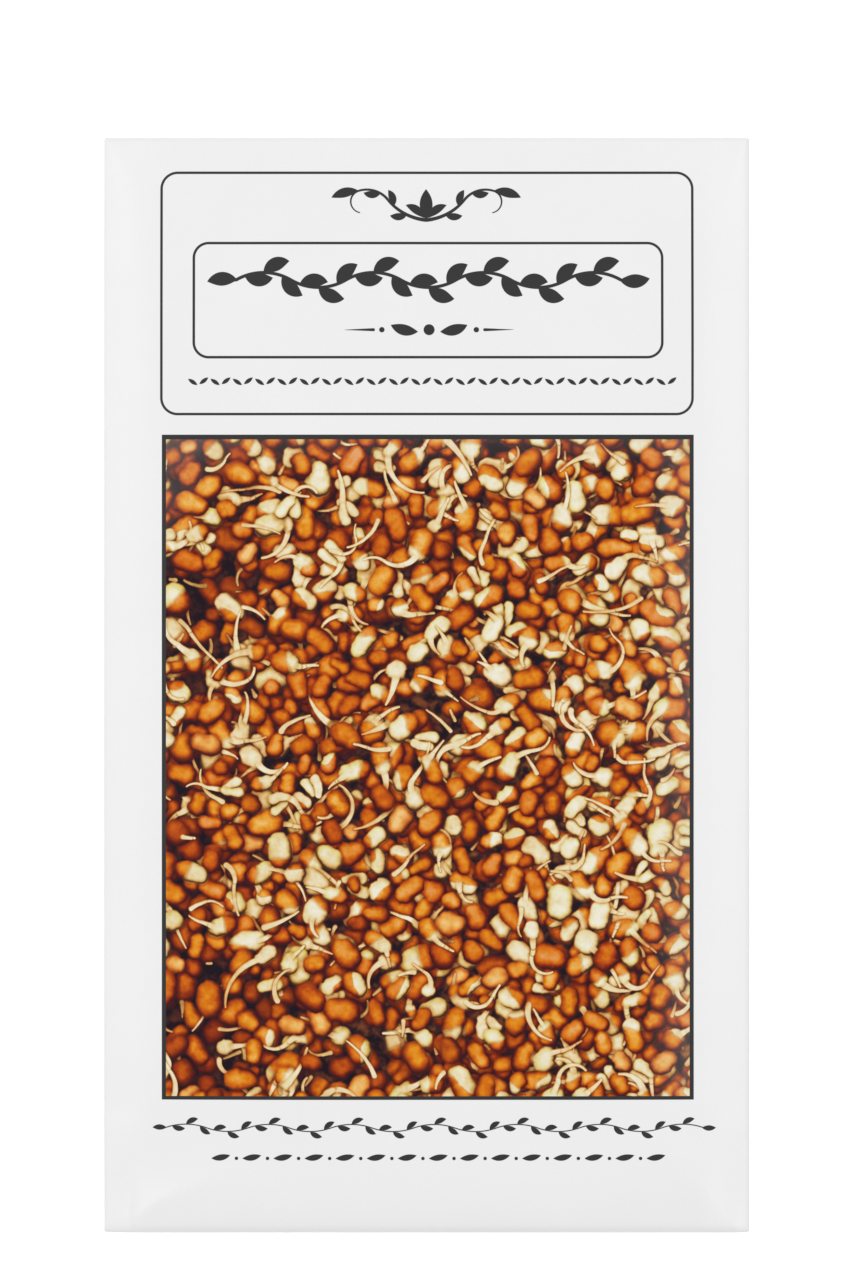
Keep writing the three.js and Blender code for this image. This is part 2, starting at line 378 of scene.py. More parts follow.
def seed(rng, x, y, z, tone, kind, head=None):
    wide = float(np.clip(rng.normal(1.60, 0.28), 1.1, 2.3))
    length = float(np.clip(rng.normal(1.4, 0.60), 0.2, 2.8))
    head = rng.uniform(0, 2 * math.pi) if head is None else head
    side = float(rng.choice([-1.0, 1.0]))
    bend = max(float(np.exp(rng.uniform(math.log(2.5), math.log(20)))), 1.4 * wide)
    w1 = wide * rng.uniform(0.74, 1.0)
    m = shape(x=x - length / 2 * math.cos(head), y=y - length / 2 * math.sin(head), head=head, bend=bend, side=side,
              length=length, w0=wide, w1=w1, z=z, tone=tone, gloss=0.24 * rng.uniform(0, 1) ** 3)
    m["tint"] = rng.uniform(0, 1.0) ** 1.4  # how red a brown one is, how green a pale one
    m.update(lit(rng.normal(0, 0.5), head, side))
    if kind == "split":
        m.update(split=rng.uniform(-0.5, 0.4), slant=rng.uniform(-0.8, 0.8), c0=0.0, c1=1.0)
    elif kind == "open":
        # the coat is open along the seed
        slant = rng.uniform(1.4, 2.6) * rng.choice([-1.0, 1.0])
        m.update(split=rng.uniform(-0.9, 0.5), slant=slant, c0=0.0, c1=1.0)
    elif kind == "cream":
        m.update(c0=1.0, c1=1.0, gloss=0.0)
    elif kind == "gold":
        m["c0"] = m["c1"] = rng.uniform(0.03, 0.15)
        m["tint"] = 0.0
        m["tone"] = min(1.3, tone * 1.22)
    return m


def shoot(rng, x, y, head, z, size, tone, out, joined=False):
    """A tapering, curling shoot of one to three arcs that meet end to end."""
    parts = rng.randint(1, 4)
    total = rng.uniform(3.6, 10.5) * size
    w = rng.uniform(0.34, 0.56) * (0.7 + 0.3 * size) * (1.35 if joined else 1.0)
    w_end = rng.uniform(0.12, 0.22)
    c0 = rng.uniform(0.9, 1.0)
    c1 = float(rng.choice([1.0, 0.85, 0.55, 0.3], p=[0.5, 0.25, 0.15, 0.10]))
    tint = rng.uniform(0, 0.8) ** 2
    turn = rng.normal(0, 0.4)
    side = float(rng.choice([-1.0, 1.0]))
    cuts = np.concatenate([[0], np.sort(rng.uniform(0.2, 0.8, parts - 1)), [1]])
    made = []
    for i in range(parts):
        l = total * (cuts[i + 1] - cuts[i])
        if l < 0.5:
            continue
        # the half width falls fast at first, then evenly
        wa, wb = (w_end + (w - w_end) * (0.6 * (1 - c) + 0.4 * (1 - c) ** 3) for c in (cuts[i], cuts[i + 1]))
        bend = max(float(np.exp(rng.uniform(math.log(1.8), math.log(20)))), l / 2.4, wa * 1.7)
        m = shape(x=x, y=y, head=head, bend=bend, side=side, length=l, w0=wa, w1=wb, z=z + 0.0005 * (parts - i), tone=tone,
                  thin=True, c0=c0 + (c1 - c0) * cuts[i], c1=c0 + (c1 - c0) * cuts[i + 1], tint=tint, split=0.0, soft=1.0)
        m["start"] = -1e4 if made else (-l / 0.9 if joined else 3.3)
        m.update(lit(turn, head, side, 0.3))
        if made:
            made[-1]["end"] = 1e4
        made.append(m)
        x, y, head = after(m)
        if rng.random_sample() < 0.6:
            side = -side
    out.extend(made)


def pile(number=11):
    rng = np.random.RandomState(number)
    dark, fine = field(rng, 17.0), field(rng, 8.0)
    out = []
    for layer, (apart, tone, z0) in enumerate([(3.1, 0.78, 0.0), (3.2, 1.02, 1.0), (3.4, 1.14, 2.0)]):
        where = darts(rng, lambda x, y: apart * (1 + (0.22 * (dark(x, y) - 0.4) if layer == 2 else 0)), 5000)
        for x, y in where:
            light = 0.78 * (x - PX0) / (PX1 - PX0) + 0.30 * (y - PY0) / (PY1 - PY0) + 0.14 * fine(x, y)
            z = z0 + rng.random_sample() * 0.98
            if layer and dark(x, y) > 0.59 + 0.3 * light and rng.random_sample() < 0.64:
                continue
            if layer == 0 and rng.random_sample() < 0.30 * (1 - light):
                continue
            p = rng.random_sample()
            creams = 0.145 + 0.275 * light
            if layer == 0:
                kind = "whole" if p < 0.9 else "split"
            elif p < creams * 0.36:
                kind = "cream"
            elif p < creams * 1.18:
                kind = "split"
            elif p < creams * 1.55:
                kind = "open"
            elif p < creams * 1.55 + 0.04:
                kind = "pair"
            elif p < creams * 1.55 + 0.09:
                kind = "gold"
            else:
                kind = "whole"
            t = tone * (0.81 + 0.39 * light + rng.normal(0, 0.13))
            if kind == "whole":
                t *= rng.uniform(0.62, 1.12)
            elif kind != "gold":
                t = max(t, 0.84 if layer == 0 else rng.uniform(0.96, 1.12))
            t = float(np.clip(t, 0.15, 1.25))
            if kind == "pair":
                # two seed leaves side by side, bent away from each other
                head = rng.uniform(0, 2 * math.pi)
                for s, dz in ((-1.0, 0.0), (1.0, 0.004)):
                    w = rng.uniform(0.8, 1.1)
                    hx, hy = -math.sin(head) * s * w * 0.92, math.cos(head) * s * w * 0.92
                    m = seed(rng, x + hx, y + hy, z + dz, t, "cream", head + rng.normal(0, 0.10))
                    m.update(w0=w, w1=w * rng.uniform(0.55, 0.85), length=rng.uniform(1.8, 2.8), side=-s, bend=rng.uniform(3.0, 7.0))
                    m.update(lit(0.0, head, -s))
                    out.append(m)
            else:
                m = seed(rng, x, y, z, t, kind)
                out.append(m)
            if layer and kind in ("cream", "split", "pair") and rng.random_sample() < 0.60:
                ex, ey, head = after(m, 0.2 * m["w1"])
                shoot(rng, ex, ey, head + rng.normal(0, 0.5), z + (0.9 if rng.random_sample() < 0.6 else 0.003),
                      rng.uniform(0.5, 1.0), min(1.15, t * 1.08), out, True)
    for x, y in darts(rng, 7.6, 900):
        shoot(rng, x, y, rng.uniform(0, 2 * math.pi), rng.uniform(1.6, 3.6), rng.uniform(0.5, 1.15), rng.uniform(0.9, 1.18), out)
    for x, y in darts(rng, 4.4, 900):
        # slivers and husks down in the gaps
        shoot(rng, x, y, rng.uniform(0, 2 * math.pi), rng.uniform(0.8, 1.8), rng.uniform(0.25, 0.5), rng.uniform(0.4, 0.85), out)
    out.sort(key=lambda m: m["z"])
    return out


# ---------------------------------------------------------------- the ornament printed in black
def stroke(out, x, y, head, length, bend, side=1.0, w0=0.16, w1=0.16, wm=0.0):
    m = shape(x=x, y=y, head=head, bend=bend, side=side, length=length, w0=w0, w1=w1, wm=wm, z=float(len(out)))
    out.append(m)
    return after(m)


def leaf(out, x, y, head, length, wide, side=1.0, bend=9.0):
    return stroke(out, x, y, head, length, max(bend, length * 0.6), side, 0.0, 0.0, wide / 2)


def dot(out, x, y, r):
    stroke(out, x - 0.005, y, 0.0, 0.01, 50.0, 1.0, r, r)


def vine(out, x0, x1, y, waves_in, high, line, leaf_long, leaf_wide, per_arc, ends=True):
    """A wavy stem of arcs from x0 to x1, with leaves on alternate sides."""
    chord = (x1 - x0) / waves_in
    bend = chord * chord / (8 * high) + high / 2
    half = math.asin(chord / 2 / bend)
    x, up, count = x0, 1.0, 0
    for arc in range(waves_in):
        head = half * up
        length = 2 * half * bend
        stroke(out, x, y, head, length, bend, -up, line, line)
        for k in range(per_arc):
            f = (k + 0.5) / per_arc
            part = shape(x=x, y=y, head=head, bend=bend, side=-up, length=length * f, w0=0, w1=0)
            px, py, turned = after(part)
            s = 1.0 if count % 2 else -1.0
            count += 1
            if arc < waves_in - 1 or k < per_arc - 1:
                leaf(out, px, py, turned + 0.80 * s, leaf_long, leaf_wide, -s, leaf_long * 1.3)
        x, up = x + chord, -up
    if ends:
        leaf(out, x1 - 0.2, y, half * up * 0.4, leaf_long * 1.05, leaf_wide)
        leaf(out, x0 + 0.2, y, math.pi - half * 0.4, leaf_long * 1.05, leaf_wide)


def ornament():
    out = []
    # a flourish: two sprigs that curl away from a bud
    cx, cy = -0.1, 73.6
    leaf(out, cx, cy - 1.7, math.pi / 2, 4.8, 2.0, 1.0, 400.0)
    for s in (-1.0, 1.0):
        start = 0.0 if s > 0 else math.pi
        leaf(out, cx + 0.3 * s, cy - 1.4, start + s * 1.0, 3.6, 1.3, -s, 4.6)
        x, y, head = cx + 0.1 * s, cy - 1.7, start + s * 0.10
        for length, bend, side, w0, w1, places in (
            (6.8, 8.6, s, 0.30, 0.22, ((0.44, -1.0), (0.80, 1.0))),
            (5.0, 4.2, -s, 0.22, 0.17, ((0.30, -1.0),)),
            (4.6, 1.75, -s, 0.17, 0.09, ()),
        ):
            for f, at in places:
                px, py, turned = after(shape(x=x, y=y, head=head, bend=bend, side=side, length=length * f, w0=0, w1=0))
                leaf(out, px, py, turned + 0.85 * s * at, 2.7, 1.15, -s * at, 3.8)
            x, y, head = stroke(out, x, y, head, length, bend, side, w0, w1)
            if side != s and places:
                leaf(out, x, y, head + 0.30 * s, 4.4, 1.5, -s, 9.0)
    # a heavy garland in the inner frame
    vine(out, -29.5, 30.0, 62.6, 7, 1.15, 0.26, 4.5, 2.15, 3)
    # a short tailpiece under it
    dot(out, 0.35, 54.9, 0.85)
    for s in (-1.0, 1.0):
        start = 0.0 if s > 0 else math.pi
        leaf(out, 0.35 + 1.7 * s, 54.6, start, 4.4, 1.7, s)
        dot(out, 0.35 + 7.3 * s, 54.9, 0.42)
        stroke(out, 0.35 + 8.6 * s, 54.9, start, 4.4, 400.0, 1.0, 0.24, 0.03)
    # a fine row of husks under the inner frame
    n = 44
    for k in range(n):
        x = -37.2 + (k + 0.5) * 75.8 / n
        s = 1.0 if k % 2 else -1.0
        leaf(out, x - 0.55, 46.9 - 0.42 * s, 0.62 * s, 1.75, 0.62, 1.0, 30.0)
    # two fine bands at the foot
    vine(out, -40.4, 42.7, -68.4, 13, 0.55, 0.09, 2.1, 0.85, 3)
    n = 15
    for k in range(n):
        x = -34.2 + (k + 0.5) * 72.0 / n
        leaf(out, x - 1.5, -73.1, 0.0, 3.0, 0.95)
        if k:
            dot(out, x - 36.0 / n, -73.1, 0.27)
    return out


# ---------------------------------------------------------------- which shapes show in which cell
def local(m, x, y):
    c, s = math.cos(m["head"]), math.sin(m["head"])
    px, py = x - m["x"], y - m["y"]
    return px * c + py * s, m["bend"] - (-px * s + py * c) * m["side"]


def outline(m, x, y):
    """Distance outside the shape's edge, its half width there, and the distance past its ends."""
    qx, qy = local(m, x, y)
    r = np.hypot(qx, qy)
    along = m["bend"] * np.arctan2(qx, qy)
    inside = np.clip(along, 0, m["length"])
    f = inside / m["length"]
    w = m["w0"] + (m["w1"] - m["w0"]) * f + m["wm"] * 4 * f * (1 - f)
    return np.hypot(along - inside, m["bend"] - r) - w, w, along - inside


def shadow_reach(w):
    return 0.35 + 0.30 * w


def sort_into_cells(shapes, xs, ys, most, shadows, slack, sub=6):
    """For each cell between the lines xs and ys, the shapes that show in it, the lowest first."""
    inner = (np.arange(sub) + 0.5) / sub
    sx = (xs[:-1, None] + np.diff(xs)[:, None] * inner).ravel()
    sy = (ys[:-1, None] + np.diff(ys)[:, None] * inner).ravel()
    clear = np.ones((len(sy), len(sx)), bool)
    cells = [[[] for _ in range(len(xs) - 1)] for _ in range(len(ys) - 1)]
    for number in range(len(shapes) - 1, -1, -1):
        m = shapes[number]
        reach = m["length"] + max(m["w0"], m["w1"]) + m["wm"] + 1.4
        i0, i1 = np.searchsorted(xs, [m["x"] - reach, m["x"] + reach])
        j0, j1 = np.searchsorted(ys, [m["y"] - reach, m["y"] + reach])
        i0, j0 = max(i0 - 1, 0), max(j0 - 1, 0)
        i1, j1 = min(i1, len(xs) - 1), min(j1, len(ys) - 1)
        if i1 <= i0 or j1 <= j0:
            continue
        gx, gy = np.meshgrid(sx[i0 * sub : i1 * sub], sy[j0 * sub : j1 * sub])
        d, w, past = outline(m, gx, gy)
        seen = clear[j0 * sub : j1 * sub, i0 * sub : i1 * sub]
        shows = d < slack
        if shadows:
            cast = d < shadow_reach(w) + slack - 0.16
            if m["thin"]:
                cast &= np.abs(past) < 0.5
            shows |= cast
        shows &= seen
        hit = shows.reshape(j1 - j0, sub, i1 - i0, sub).any(axis=(1, 3))
        for j, i in zip(*np.nonzero(hit)):
            cells[j0 + j][i0 + i].append(number)
        if shadows:
            seen &= ~(d < -slack - 0.05)
    counts = np.array([[len(c) for c in row] for row in cells])
    table = np.full((len(ys) - 1, len(xs) - 1, most), -1)
    for j, row in enumerate(cells):
        for i, c in enumerate(row):
            c = c[:most]
            table[j, i, : len(c)] = c[::-1]
    return table, counts


# ---------------------------------------------------------------- lines of the sheet's grid
def spread(start, stop, count):
    return list(np.linspace(start, stop, count + 1))


near_fold = [0.0, 0.2, 0.42, 0.6, 0.85, 1.2, 1.65, 2.2, 2.75, 3.3, 3.85, 4.4, 5.0, 5.6, 6.3, 7.05, 7.9]
PICTURE_COLUMNS, PICTURE_ROWS = 90, 113
column_lines = np.array(
    [-HX + d for d in near_fold] + [PX0] + spread(PX0, PX1, PICTURE_COLUMNS)[1:] + [HX - d for d in near_fold[::-1]]
)
row_lines = np.array(
    [-HY + d for d in near_fold]
    + [-HY + d for d in (9.2, 10.5, 11.8, 13.1, 14.2, 15.0, 15.58, 16.3, 17.3, 18.4, 19.58)]
    + spread(PY0, PY1, PICTURE_ROWS)
    + spread(PY1, 64.8, 22)[1:]
    + spread(64.8, HY - near_fold[-1], 10)[1:-1]
    + [HY - d for d in near_fold[::-1]]
)
back_lines = [0.0, 0.2, 0.42, 0.6, 0.9, 1.4, 2.1, 3.0, 4.2, 5.6, 7.2, 9.0, 11.2, 14.0]  # in from the fold
left_lines = np.array(
    [-HX + d for d in back_lines] + spread(-HX + 14.0, -12.0, 9)[1:] + [-11, -10, -9, -8, -7, -6, -3, 0, 3, 5, 6]
)
right_lines = np.array([HX - d for d in back_lines] + spread(HX - 14.0, 0.0, 13)[1:] + [-3, -5, -6])
FOLD_STEPS = 6

picture_columns = (int(np.argmin(abs(column_lines - PX0))), int(np.argmin(abs(column_lines - PX1))))
picture_rows = (int(np.argmin(abs(row_lines - PY0))), int(np.argmin(abs(row_lines - PY1))))


def folded_sheet():
    """The middle of the paper on a cross-shaped grid, and which of its cells are paper."""
    turn = np.arange(FOLD_STEPS) / FOLD_STEPS
    side_arc, end_arc = math.pi * SIDE_FOLD_R, math.pi * END_FOLD_R
    # across: (kind, x or turn, place on the flat sheet)
    across = [("left", x, -HX - side_arc - (x + HX)) for x in left_lines[:0:-1]]
    across += [("left_fold", t, -HX - (1 - t) * side_arc) for t in turn]
    across += [("front", x, x) for x in column_lines]
    across += [("right_fold", t, HX + t * side_arc) for t in turn + 1 / FOLD_STEPS]
    across += [("right", x, HX + side_arc + (HX - x)) for x in right_lines[1:]]
    bottom = [y for y in row_lines if y <= -HEIGHT / 2 + BOTTOM_FLAP + 1e-6]
    top = [y for y in row_lines if y >= HEIGHT / 2 - TOP_FLAP - 1e-6]
    along = [("bottom", y, -HY - end_arc - (y + HY)) for y in bottom[:0:-1]]
    along += [("bottom_fold", t, -HY - (1 - t) * end_arc) for t in turn]
    along += [("front", y, y) for y in row_lines]
    along += [("top_fold", t, HY + t * end_arc) for t in turn + 1 / FOLD_STEPS]
    along += [("top", y, HY + end_arc + (HY - y)) for y in top[-2::-1]]
    ak = np.array([a[0] for a in across])
    rk = np.array([a[0] for a in along])
    av = np.array([a[1] for a in across], float)
    rv = np.array([a[1] for a in along], float)
    flat = np.zeros((len(along), len(across), 2))
    flat[..., 0] = np.array([a[2] for a in across])[None, :]
    flat[..., 1] = np.array([a[2] for a in along])[:, None]
    place = np.full((len(along), len(across), 3), np.nan)

    def fill(rows, columns, x, y, z):
        block = np.ix_(rows, columns)
        shape_ = (len(rows), len(columns))
        place[..., 0][block] = np.broadcast_to(x, shape_)
        place[..., 1][block] = np.broadcast_to(y, shape_)
        place[..., 2][block] = np.broadcast_to(z, shape_)

    R = np.nonzero(rk == "front")[0]
    y = rv[R][:, None]
    for kind, z_of in (("front", front_z), ("left", left_back_z), ("right", right_back_z)):
        C = np.nonzero(ak == kind)[0]
        x = av[C][None, :]
        fill(R, C, x, y, z_of(x, y))
    for kind, side, z_of in (("left_fold", -1, left_back_z), ("right_fold", 1, right_back_z)):
        C = np.nonzero(ak == kind)[0]
        t = av[C][None, :]
        angle = (t - 0.5 if side < 0 else 0.5 - t) * math.pi
        middle = z_of(side * HX + 0 * y, y) + SIDE_FOLD_R
        fill(R, C, side * (HX + SIDE_FOLD_R * np.cos(angle)), y, middle + SIDE_FOLD_R * np.sin(angle))
    C = np.nonzero(ak == "front")[0]
    x = av[C][None, :]
    for kind, end, long in (("bottom", -1, BOTTOM_FLAP), ("top", 1, TOP_FLAP)):
        for fold in (False, True):
            rows = np.nonzero(rk == (kind + "_fold" if fold else kind))[0]
            v = rv[rows][:, None]
            depth = np.zeros_like(v) if fold else HY - np.abs(v)
            outer = HX - CHAMFER * depth / (long - END_FOLD_R)
            reach = np.abs(x)
            drawn = 40 + (reach - 40) / (HX - 40) * (outer - 40)
            fx = np.sign(x) * np.where(reach <= 40, reach + 0 * outer, drawn)
            if fold:
                angle = (v - 0.5 if end < 0 else 0.5 - v) * math.pi
                fill(rows, C, fx, end * (HY + END_FOLD_R * np.cos(angle)),
                     flap_z(fx, end * HY + 0 * fx) + END_FOLD_R * (1 + np.sin(angle)))
            else:
                fill(rows, C, fx, v, flap_z(fx, v + 0 * fx))

    # the upper quarter of both folds meets over each corner
    caps = []
    for side, kind_c, z_of in ((-1, "left_fold", left_back_z), (1, "right_fold", right_back_z)):
        for end, kind_r in ((-1, "bottom_fold"), (1, "top_fold")):
            high = z_of(np.float64(side * HX), np.float64(end * HY)) + 2 * SIDE_FOLD_R
            for r in np.nonzero(rk == kind_r)[0]:
                phi = (rv[r] - 0.5 if end < 0 else 0.5 - rv[r]) * math.pi
                for c in np.nonzero(ak == kind_c)[0]:
                    theta = (av[c] - 0.5 if side < 0 else 0.5 - av[c]) * math.pi
                    if phi < -1e-6 or theta < -1e-6:
                        continue
                    pull = 1 - 0.22 * math.cos(theta) * math.cos(phi)
                    drop = ((SIDE_FOLD_R * (1 - math.sin(theta))) ** 3 + (END_FOLD_R * (1 - math.sin(phi))) ** 3) ** (1 / 3)
                    place[r, c] = (side * (HX + SIDE_FOLD_R * math.cos(theta) * pull),
                                   end * (HY + END_FOLD_R * math.cos(phi) * pull), high - drop)
                    caps.append((r, c))
    capped = np.zeros(place.shape[:2], bool)
    capped[tuple(np.array(caps).T)] = True

    # cells: the front panel, the back panels, the flaps, the corner caps
    front_c = [k for k in range(len(ak) - 1) if ak[k] == "front" and ak[k + 1] == "front"]
    front_r = [k for k in range(len(rk) - 1) if rk[k] == "front" and rk[k + 1] == "front"]
    paper = np.zeros((len(along) - 1, len(across) - 1), bool)
    paper[np.ix_(front_r, front_c)] = True
    side_c = [k for k in range(len(ak) - 1) if k not in set(front_c)]
    flap_r = [k for k in range(len(rk) - 1) if k not in set(front_r)]
    paper[np.ix_(front_r, side_c)] = True
    paper[np.ix_(flap_r, front_c)] = True
    # a cap's cell has three or four corners of its own or on the folds' ends
    known = ~np.isnan(place[..., 0])
    for r in flap_r:
        for c in side_c:
            corner = [(r, c), (r, c + 1), (r + 1, c), (r + 1, c + 1)]
            if all(known[k] for k in corner) and any(capped[k] for k in corner):
                paper[r, c] = True
    return place, flat, paper, front_c[0], front_r[0]


def thickened(place, flat, paper, thickness):
    """Closed layer around the middle surface: vertices, faces, and for each face its kind and its grid cell."""
    rows, columns = paper.shape
    corner = np.zeros((rows + 1, columns + 1), bool)
    for dj in (0, 1):
        for di in (0, 1):
            corner[dj : dj + rows, di : di + columns] |= paper
    p, q = place[:-1, :-1], place[:-1, 1:]
    r, s = place[1:, 1:], place[1:, :-1]
    n = np.cross(r - p, s - q)
    size = np.linalg.norm(n, axis=2, keepdims=True)
    n = np.where(paper[..., None], n / np.where(size > 0, size, 1), 0)
    normal = np.zeros_like(place)
    for dj in (0, 1):
        for di in (0, 1):
            normal[dj : dj + rows, di : di + columns] += np.nan_to_num(n)
    normal /= np.maximum(np.linalg.norm(normal, axis=2, keepdims=True), 1e-12)
    number = np.full(corner.shape, -1)
    number[corner] = np.arange(corner.sum())
    count = int(corner.sum())
    at, up = place[corner], normal[corner]
    vertices = np.vstack([at + up * thickness / 2, at - up * thickness / 2])
    sheet = np.zeros((2 * count, 3), np.float32)
    sheet[:count, :2] = sheet[count:, :2] = flat[corner]
    sheet[count:, 2] = 50.0
    jj, ii = np.nonzero(paper)
    a, b = number[jj, ii], number[jj, ii + 1]
    c, d = number[jj + 1, ii + 1], number[jj + 1, ii]
    outer = np.stack([a, b, c, d], 1)
    inner = np.stack([a, d, c, b], 1) + count
    walls = []
    padded = np.pad(paper, 1)
    for dj, di, first, second in ((-1, 0, a, b), (0, 1, b, c), (1, 0, c, d), (0, -1, d, a)):
        edge = ~padded[jj + 1 + dj, ii + 1 + di]
        f, g = first[edge], second[edge]
        walls.append(np.stack([f, f + count, g + count, g], 1))
    walls = np.vstack(walls)
    return vertices, sheet, outer, inner, walls, jj, ii


def mesh_object(name, vertices, faces, materials, slots=None, smooth_shading=True, sharp=50.0):
    mesh = bpy.data.meshes.new(name)
    faces = np.asarray(faces)
    size = faces.shape[1]
    mesh.vertices.add(len(vertices))
    mesh.vertices.foreach_set("co", (np.asarray(vertices, float) * MM).astype(np.float32).ravel())
    mesh.loops.add(faces.size)
    mesh.loops.foreach_set("vertex_index", faces.astype(np.int32).ravel())
    mesh.polygons.add(len(faces))
    mesh.polygons.foreach_set("loop_start", (np.arange(len(faces)) * size).astype(np.int32))
    for material in materials:
        mesh.materials.append(material)
    if slots is not None:
        mesh.polygons.foreach_set("material_index", np.asarray(slots, np.int32))
    mesh.update(calc_edges=True)
    mesh.validate()
    if smooth_shading:
        mesh.shade_smooth()
        mesh.set_sharp_from_angle(angle=math.radians(sharp))
    made = bpy.data.objects.new(name, mesh)
    bpy.context.scene.collection.objects.link(made)
    return made


# ---------------------------------------------------------------- shapes into mesh attributes
PICTURE_CLASSES = (3, 5, 7, 9, 12, 15)
INK_SLOTS = 4


def write_slots(mesh, prefix, shapes, table, cell_faces, corners_xy, count, ink):
    """Writes each slot's shape to the mesh. cell_faces: face number of each cell; corners_xy: its corners' places."""
    faces, loops = len(mesh.polygons), len(mesh.loops)
    numbers = {k: np.array([m[k] for m in shapes] + [0.0]) for k in
               ("x", "y", "head", "side", "bend", "length", "w0", "w1", "wm", "tone", "split", "slant", "c0", "c1", "tint",
                "lx", "ly", "gloss", "start", "end", "soft")}
    for k in range(count):
        which = table[:, k]
        none = which < 0
        get = {name: value[which] for name, value in numbers.items()}
        c, s = np.cos(get["head"])[:, None], np.sin(get["head"])[:, None]
        px = corners_xy[..., 0] - get["x"][:, None]
        py = corners_xy[..., 1] - get["y"][:, None]
        corner = np.zeros((len(which), 4, 3))
        corner[..., 0] = px * c + py * s
        corner[..., 1] = get["bend"][:, None] - (-px * s + py * c) * get["side"][:, None]
        corner[..., 2] = get["bend"][:, None]
        corner[none] = (0.0, 1000.0, 1.0)
        length = np.where(none, 1.0, get["length"])
        w0 = np.where(none, 0.001, get["w0"])
        dw = np.where(none, 0.0, get["w1"] - get["w0"])
        packs = {"a": (length, w0, dw)}
        if ink:
            packs["b"] = (np.where(none, 0.0, get["wm"] * 4), 0 * w0, 0 * w0)
        else:
            packs["b"] = (get["tone"], get["split"], get["slant"])
            packs["c"] = (get["c0"], get["c1"] - get["c0"], get["tint"])
            packs["d"] = (get["lx"], get["ly"], get["gloss"])
            packs["e"] = (get["start"], get["end"], np.where(none, 1.0, get["soft"]))
        data = np.zeros((loops, 3), np.float32)
        index = (np.asarray(cell_faces)[:, None] * 4 + np.arange(4)).ravel()
        data[index] = corner.reshape(-1, 3)
        made = mesh.attributes.new(f"{prefix}q{k}", "FLOAT_VECTOR", "CORNER")
        made.data.foreach_set("vector", data.ravel())
        for letter, columns in packs.items():
            data = np.zeros((faces, 3), np.float32)
            data[cell_faces] = np.stack(columns, 1)
            made = mesh.attributes.new(f"{prefix}{letter}{k}", "FLOAT_VECTOR", "FACE")
            made.data.foreach_set("vector", data.ravel())


def arc_part(g, prefix, k, warp=None):
    """The common start of a shape's drawing: its place along and across the arc."""
    qx, qy, bend = g.three(f"{prefix}q{k}")
    if warp:
        qx, qy = g.add(qx, warp[0]), g.add(qy, warp[1])
    length, w0, dw = g.three(f"{prefix}a{k}")
    r = g.math("SQRT", g.madd(qx, qx, g.mul(qy, qy)))
    along = g.mul(bend, g.math("ARCTAN2", qx, qy))
    f = g.div(along, length, clamp=True)
    past = g.sub(along, g.mul(f, length))
    w = g.madd(dw, f, w0)
    across = g.sub(bend, r)
    return length, along, f, past, w, across


def picture_group(k):
    """Draws slot k's shape over what is there: brightness, cream share and green tint go in and come out."""
    tree = bpy.data.node_groups.new(f"shape_{k}", "ShaderNodeTree")
    for name in ("bright", "cream", "tint", "warp_x", "warp_y"):
        tree.interface.new_socket(name, in_out="INPUT", socket_type="NodeSocketFloat")
    for name in ("bright", "cream", "tint"):
        tree.interface.new_socket(name, in_out="OUTPUT", socket_type="NodeSocketFloat")
    g = Graph(tree)
    given = g.node("NodeGroupInput").outputs
    bright, cream, tint = given["bright"], given["cream"], given["tint"]
    start, end, soft = g.three(f"pe{k}")
    calm = g.madd(soft, -0.75, 1.0)
    length, along, f, past, w, across = arc_part(g, "p", k, (g.mul(given["warp_x"], calm), g.mul(given["warp_y"], calm)))
    tone, split, slant = g.three(f"pb{k}")
    c0, dc, own_tint = g.three(f"pc{k}")
    lx, ly, gloss = g.three(f"pd{k}")
    b = g.div(past, w)
    a = g.div(across, w)
    rho2 = g.madd(a, a, g.mul(b, b))
    rho = g.math("SQRT", rho2)
    nz = g.sub(1.0, rho2, clamp=True)
    lam = g.madd(lx, b, g.madd(ly, a, nz))
    shade = g.step(lam, -0.10, 1.20)
    # where a split seed's coat ends
    e = g.div(g.madd(length, -0.5, along), g.madd(length, 0.5, w))
    lean = g.mul(a, g.madd(g.math("ABSOLUTE", a), -0.6, 1.0))
    e = g.sub(g.madd(slant, lean, e), split)
    m = g.step(g.div(e, soft), -1.0, 1.0)
    coat = g.madd(g.mul(m, g.mul(g.step(e, 0.0, 0.28, 1.0, 0.0), g.sub(1.0, soft))), -0.60, 1.0)
    own_cream = g.madd(dc, m, c0)
    even = g.sub(1.0, g.math("POWER", g.sub(1.0, shade), g.madd(soft, 1.8, 2.4)))
    own = g.madd(g.sub(even, shade), own_cream, shade)
    own = g.madd(g.mul(g.mul(own, tone), coat), 0.93, 0.065)
    own = g.madd(g.step(g.madd(b, 0.25, lam), 0.80, 0.98), gloss, own)
    # green shows at a pale one's rim only
    own_tint = g.mul(own_tint, g.madd(own_cream, g.sub(g.mul(rho2, 1.3, clamp=True), 1.0), 1.0))
    d = g.mul(g.sub(rho, 1.0), w)
    # an arc that goes on from another shape is cut, or fades in, where it starts
    fade = g.mul(g.add(f, 1e-6), g.math("ABSOLUTE", start), clamp=True)
    cover = g.mul(g.step(d, -0.18, 0.18, 1.0, 0.0), g.math("MAXIMUM", g.math("GREATER_THAN", start, 0.0), fade))
    # the soft shadow that it casts on what is under it
    shadow = g.mul(g.step(d, -0.12, g.madd(w, 0.30, 0.35), 0.53, 0.0), fade)
    shadow = g.mul(shadow, g.sub(1.0, g.mul(past, end, clamp=True)))
    shadow = g.mul(shadow, g.sub(1.0, cover))
    dimmed = g.sub(bright, g.mul(shadow, bright))
    out = g.node("NodeGroupOutput").inputs
    g.put(out["bright"], g.madd(g.sub(own, dimmed), cover, dimmed))
    g.put(out["cream"], g.madd(g.sub(own_cream, cream), cover, cream))
    g.put(out["tint"], g.madd(g.sub(own_tint, tint), cover, tint))
    return tree


